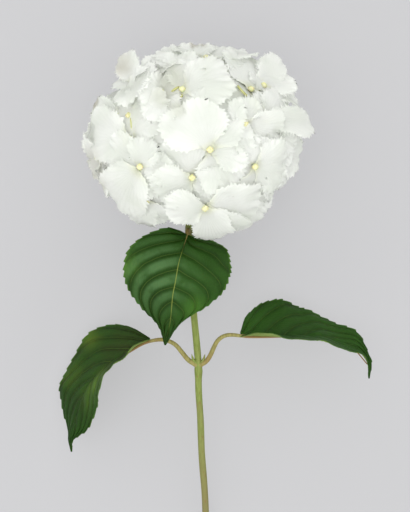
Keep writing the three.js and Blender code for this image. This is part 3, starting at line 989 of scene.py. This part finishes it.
# Flower stalks: the rays that branch from the stem's top, and a pedicel to each floret
stalks = {
    "fork": (-4, -40, 65),
    "clearance": 0.3,
    "forkSwell": 0.35,
    "rays": 7,
    "rayTurn": 0.3,
    "rayWays": ((0.45, 0.42), (0.75, -0.08)),  # how far out and ahead, in turn
    "reach": 40,
    "rayBack": 2,
    "rayBend": 5,
    "rayRadius": 1.9,
    "rayThinning": 0.6,
    "pedicelRadius": 0.95,
    "pedicelBack": 0.4,
    # Stretches that the photo shows between petals
    "seen": [
        [(131, 116, -9), (132, 128, -8), (134, 140, -11)],
        [(238, 86, -5), (242, 91, -2), (247, 96, -5)],
        [(252, 100, -5), (254, 105, -1), (257, 112, -5)],
        [(260, 115, -5), (262, 120, -2), (264, 124, -5)],
        [(171, 93, -9), (175, 89, -5), (180, 87, -8)],
        [(176, 104, -8), (180, 99, -4), (183, 93, -8)],
    ],
    "seenRadius": 0.9,
}


def makeStalks(florets):
    stemTop = fromHead(stem["route"][0])
    fork = fromHead(stalks["fork"])
    way = (fork - stemTop).normalized()
    bm = bmesh.new()
    foot = stemTop + way * stalks["clearance"]
    addTube(bm, evenPath([foot, fork], 6)[0],
            lambda share: stem["radius"] * (1 + stalks["forkSwell"] * share), 16)
    tips = addRays(bm, fork, way)
    for floret in florets:
        addPedicel(bm, floret, tips)
    for route in stalks["seen"]:
        start, bend, end = [seenAt(*spot) for spot in route]
        bend = 2 * bend - (start + end) / 2
        addTube(bm, bentPath(start, bend, end, 10), lambda share: stalks["seenRadius"], 8)
    finishPiece(bm, "flowerStalks", ["flower_stalks"], [stalkBark])
    print("stalks made")


def addRays(bm, fork, way):
    tips = []
    for i in range(stalks["rays"]):
        angle = math.tau * i / stalks["rays"] + stalks["rayTurn"]
        spread, ahead = stalks["rayWays"][i % 2]
        out = Vector((math.cos(angle) * spread, ahead, math.sin(angle) * spread))
        tip = centre + out * stalks["reach"]
        start = fork - way * stalks["rayBack"]
        bend = (start + tip) / 2 + way * stalks["rayBend"]
        addTube(bm, bentPath(start, bend, tip, 12),
                lambda share: stalks["rayRadius"] - stalks["rayThinning"] * share, 10)
        tips.append(tip)
    return tips


def addPedicel(bm, floret, tips):
    # From the nearest ray's tip to the back of the floret
    back = floret["facing"]
    base = floret["eye"] + centre - back * (petals["pairGap"] + stalks["pedicelBack"])
    tip = min(tips, key=lambda place: (place - base).length)
    bend = base - back * 0.4 * (tip - base).length
    addTube(bm, bentPath(tip, bend, base, 10),
            lambda share: stalks["pedicelRadius"] * (1.15 - 0.25 * share), 8)


makeStalks(placed)


# Leaves: each one's node, its petiole's route and its rows from base to tip.
# A row is one margin, the midrib and the other margin.
leaves = {
    "frontLeaf": ("leaf_front", [(-6.4, -70, 59), (-6.8, -67.4, 64), (-7.1, -67.9, 68)], [
        [(-9, -70, 72), (-7, -71, 71), (-5, -72, 72)],
        [(-22, -66, 79), (-11, -83, 77), (7, -74, 75)],
        [(-39, -72, 86), (-14, -94, 81), (21, -81, 81)],
        [(-51, -83, 90), (-16, -106, 82), (25, -93, 86)],
        [(-54, -99, 90), (-18, -116, 82), (24, -103, 86)],
        [(-50, -113, 88), (-19, -126, 80), (18, -115, 84)],
        [(-40.5, -126, 83), (-20, -136, 78), (5, -126, 81)],
        [(-29, -139, 76), (-22, -145, 73), (-13, -138, 75)],
        [(-24.5, -154, 67), (-24, -154, 67), (-23.5, -154, 67)],
    ]),
    "backLeaf": ("leaf_back", [(-6.4, -70, 59), (-5.6, -67.2, 54), (-4.6, -67.6, 48)], [
        [(-2, -71, 44), (-5, -72, 44), (-7, -71, 44)],
        [(6, -69, 38), (-6, -81, 38), (-16, -67, 38)],
        [(14.5, -79, 31), (-7, -92, 32), (-29, -73, 31)],
        [(17, -90, 25), (-9, -102, 27), (-35, -84, 24)],
        [(11, -103, 20), (-10, -113, 22), (-36, -98, 18)],
        [(5, -117, 14), (-12, -124, 17), (-31, -113, 12)],
        [(-4, -128, 9), (-14, -132, 12), (-21, -126, 8)],
        [(-14.5, -140, 7), (-15, -140, 7), (-15.5, -140, 7)],
    ]),
    "leftLeaf": ("leaf_left", [
        (0.9, -171, 38.5), (-6.2, -167, 41), (-11.3, -161, 43), (-16, -155.3, 45), (-21.5, -152, 46),
        (-29, -150.8, 46.5),
    ], [
        [(-36, -149.5, 45), (-36, -151, 46), (-36, -150.5, 47)],
        [(-53, -141, 31), (-47, -156, 46), (-46, -153, 65)],
        [(-72, -141, 20), (-58, -164, 46), (-54, -163, 76)],
        [(-87, -151, 15), (-69, -171, 44), (-63, -168, 79)],
        [(-98, -169, 14), (-79, -181, 42), (-69, -175, 77)],
        [(-106, -184, 13), (-86, -191, 40), (-73, -188, 70)],
        [(-106, -198, 13), (-91, -204, 37), (-76, -200, 60)],
        [(-102, -216, 20), (-95, -219, 34), (-83, -218, 45)],
        [(-99, -229, 25), (-97, -230, 31), (-95, -229, 33)],
        [(-97.5, -238, 29), (-97, -238, 29), (-96.5, -238, 29)],
    ]),
    "rightLeaf": ("leaf_right", [
        (0.9, -171, 38.5), (6.8, -167.7, 41), (10.2, -162.7, 42), (12.9, -156.6, 43), (15.9, -151.4, 44),
        (20.5, -148.1, 45), (26.6, -147.2, 45.5),
    ], [
        [(33, -148.5, 47), (33, -147.5, 46), (33, -145, 45)],
        [(45, -145.3, 66), (46, -148, 47), (38, -133, 31)],
        [(58, -145.8, 78), (59, -148, 48), (49, -124, 24)],
        [(71, -148.3, 84), (71, -148, 48), (63, -121, 23)],
        [(86, -150, 82), (83, -148, 48), (77, -126, 22)],
        [(99, -152, 77), (95, -149, 48), (90, -130, 24)],
        [(111, -157, 68), (108, -153, 46), (105, -139, 27)],
        [(122, -161, 54), (121, -158, 44), (122, -145, 35)],
        [(130, -167, 43), (130, -168, 40), (133, -165, 39)],
        [(131.5, -181, 36), (132, -181, 36), (132.5, -181, 36)],
    ]),
}


blade = {
    "sheet": 0.5,
    "columns": 48,
    "rows": 132,
    "seed": 5,
    "bow": 0.16,
    "quilt": 1.3,
    "wave": 0.7,
    "teeth": 22,
    "tooth": 1.7,
    "toothBack": 0.35,
    "toothShift": 0.3,  # of a tooth, between the two margins
    "petioleRadius": 2.0,
    "petioleFlare": 0.5,
    "flareLength": 3,
    "ribRadius": 1.5,
    "midribRadius": 0.45,
    "ribTaper": 2.8,
    "ribDrop": 0.8,
    "ribShares": (0.05, 0.17, 0.3, 0.45, 0.6, 0.75, 0.9),
}


def bladeRow(left, midrib, right, along):
    # A row's place on the midrib, the ways from there to both margins, and the way ahead
    step = 0.004
    root = curvePoint(midrib, along)
    ahead = curvePoint(midrib, min(1, along + step)) - curvePoint(midrib, max(0, along - step))
    return root, curvePoint(left, along) - root, curvePoint(right, along) - root, ahead.normalized()


def bladeEnds(along):
    # Waves and teeth fade out towards the base and the tip.
    return min(1, 8 * min(along, 1 - along))


def bladeHeight(across, along, width, phases):
    # The blade bows, its margins wave, and it rises in pillows between the veins.
    side = abs(across)
    between = (veinRun(side, along) * leafVeins["count"]) % 1
    pillow = blade["quilt"] * math.sin(math.pi * between) ** 0.6
    pillow = pillow * eased(0, 0.12, side) * eased(1, 0.8, side)
    wave = math.sin(along * 19 + phases[0] + across) + 0.6 * math.sin(along * 43 + phases[1])
    height = blade["bow"] * side * (1 - side) * width
    return height + (blade["wave"] * side ** 3 * wave - pillow) * bladeEnds(along)


def bladeTooth(across, along):
    # Teeth along both margins point towards the tip.
    if abs(across) < 0.999:
        return 0
    saw = (along * blade["teeth"] + (blade["toothShift"] if across < 0 else 0)) % 1
    return blade["tooth"] * (saw - blade["toothBack"]) * bladeEnds(along)


def makeLeaf(name, node, petiole, rows, chance):
    left, midrib, right = [[fromHead(row[column]) for row in rows] for column in range(3)]
    bm = bmesh.new()
    uvMap = bm.loops.layers.uv.new("blade")
    grid = bmesh.ops.create_grid(bm, x_segments=blade["columns"], y_segments=blade["rows"], size=1)["verts"]
    spots = {vert: (vert.co.x, 0.5 - 0.5 * vert.co.y) for vert in grid}
    sharpRim(grid)
    for face in bm.faces:
        for loop in face.loops:
            across, along = spots[loop.vert]
            loop[uvMap].uv = (0.5 + 0.5 * across, along)
    phases = [chance.uniform(0, math.tau) for i in range(4)]
    known = {}
    for vert, (across, along) in spots.items():
        if along not in known:
            known[along] = bladeRow(left, midrib, right, along)
        root, toLeft, toRight, ahead = known[along]
        reach = toLeft if across < 0 else toRight
        lift = reach.cross(ahead).normalized() * (-1 if across < 0 else 1)
        tooth = bladeTooth(across, along)
        height = bladeHeight(across, along, reach.length, phases)
        vert.co = root + reach * abs(across) + reach.normalized() * tooth + lift * height
        vert.co += ahead * tooth * 0.5
    piece = finishPiece(bm, name, [node], [upper, under], recalculated=False)
    thicken(piece, blade["sheet"], underSlot=1)
    makePetiole(name, node, [fromHead(point) for point in petiole], left, midrib, right)


def makePetiole(name, node, petiole, left, midrib, right):
    # The petiole runs on under the blade as its midrib.
    down = (curvePoint(right, 0.5) - curvePoint(left, 0.5)).cross(
        curvePoint(midrib, 0.52) - curvePoint(midrib, 0.48)).normalized()
    ribs = [curvePoint(midrib, share) + down * blade["ribDrop"] for share in blade["ribShares"]]
    path, length = evenPath(petiole + ribs, 70)
    bladeStart = evenPath(petiole, 4)[1] / length

    def radiusAt(share):
        if share < bladeStart:
            flare = blade["petioleFlare"] * math.exp(-(share * length / blade["flareLength"]) ** 2)
            return blend(blade["petioleRadius"], blade["ribRadius"], share / bladeStart) + flare
        along = (share - bladeStart) / (1 - bladeStart)
        return blend(blade["ribRadius"], blade["midribRadius"], min(1, blade["ribTaper"] * along))

    bm = bmesh.new()
    addTube(bm, path, radiusAt, 12)
    finishPiece(bm, name + "Stalk", [node], [petioleBark])


leafChance = random.Random(blade["seed"])
for name, leaf in leaves.items():
    makeLeaf(name, *leaf, leafChance)
print("leaves made")


# Floor, light and camera
studio = {
    "floor": "#6d6d6e",
    "floorCloud": "#6f6f70",
    "floorGlow": "#d0d0d2",
    "glow": 0.62,
    "floorHalf": 6,
    "floorDrop": 0.3,
    "world": 1.46,
    "key": 5,
    "keyPlace": Vector((-0.3, -0.25, 1.5)),
    "keySize": 1.1,
}


def makeFloor():
    finish = Finish("paleFloor", {
        "Roughness": 0.9, "Specular IOR Level": 0.1, "Emission Color": studio["floorGlow"],
        "Emission Strength": studio["glow"],
    })
    cloud = finish.noise(finish.place(), 2.5, 1.0)
    finish.colour(finish.mix(cloud, studio["floor"], studio["floorCloud"]))
    bm = bmesh.new()
    bmesh.ops.create_grid(bm, x_segments=2, y_segments=2, size=studio["floorHalf"])
    bmesh.ops.translate(bm, verts=bm.verts, vec=(0, 0, -studio["floorDrop"] * mm))
    addMesh(bm, "floor", [finish.material])


def makeLight():
    lamp = bpy.data.lights.new("key", "AREA")
    lamp.shape = "DISK"
    lamp.size = studio["keySize"]
    lamp.energy = studio["key"]
    light = addObject("key", lamp)
    light.location = studio["keyPlace"]
    light.rotation_euler = (view["aim"] * mm - studio["keyPlace"]).to_track_quat("-Z", "Y").to_euler()


def makeCamera():
    lens = bpy.data.cameras.new("camera")
    lens.sensor_fit = "VERTICAL"
    lens.sensor_height = view["sensor"]
    lens.lens = view["sensor"] * view["distance"] / view["seenHeight"]
    camera = addObject("camera", lens)
    camera.location = (view["aim"] + Vector((0, 0, view["distance"]))) * mm
    scene.camera = camera


def makeWorld():
    world = bpy.data.worlds.new("studio")
    world.use_nodes = True
    background = world.node_tree.nodes["Background"]
    background.inputs["Strength"].default_value = studio["world"]
    background.inputs["Color"].default_value = (1, 1, 1, 1)
    scene.world = world
    scene.view_settings.view_transform = "Standard"


makeFloor()
makeLight()
makeCamera()
makeWorld()
print("studio made")
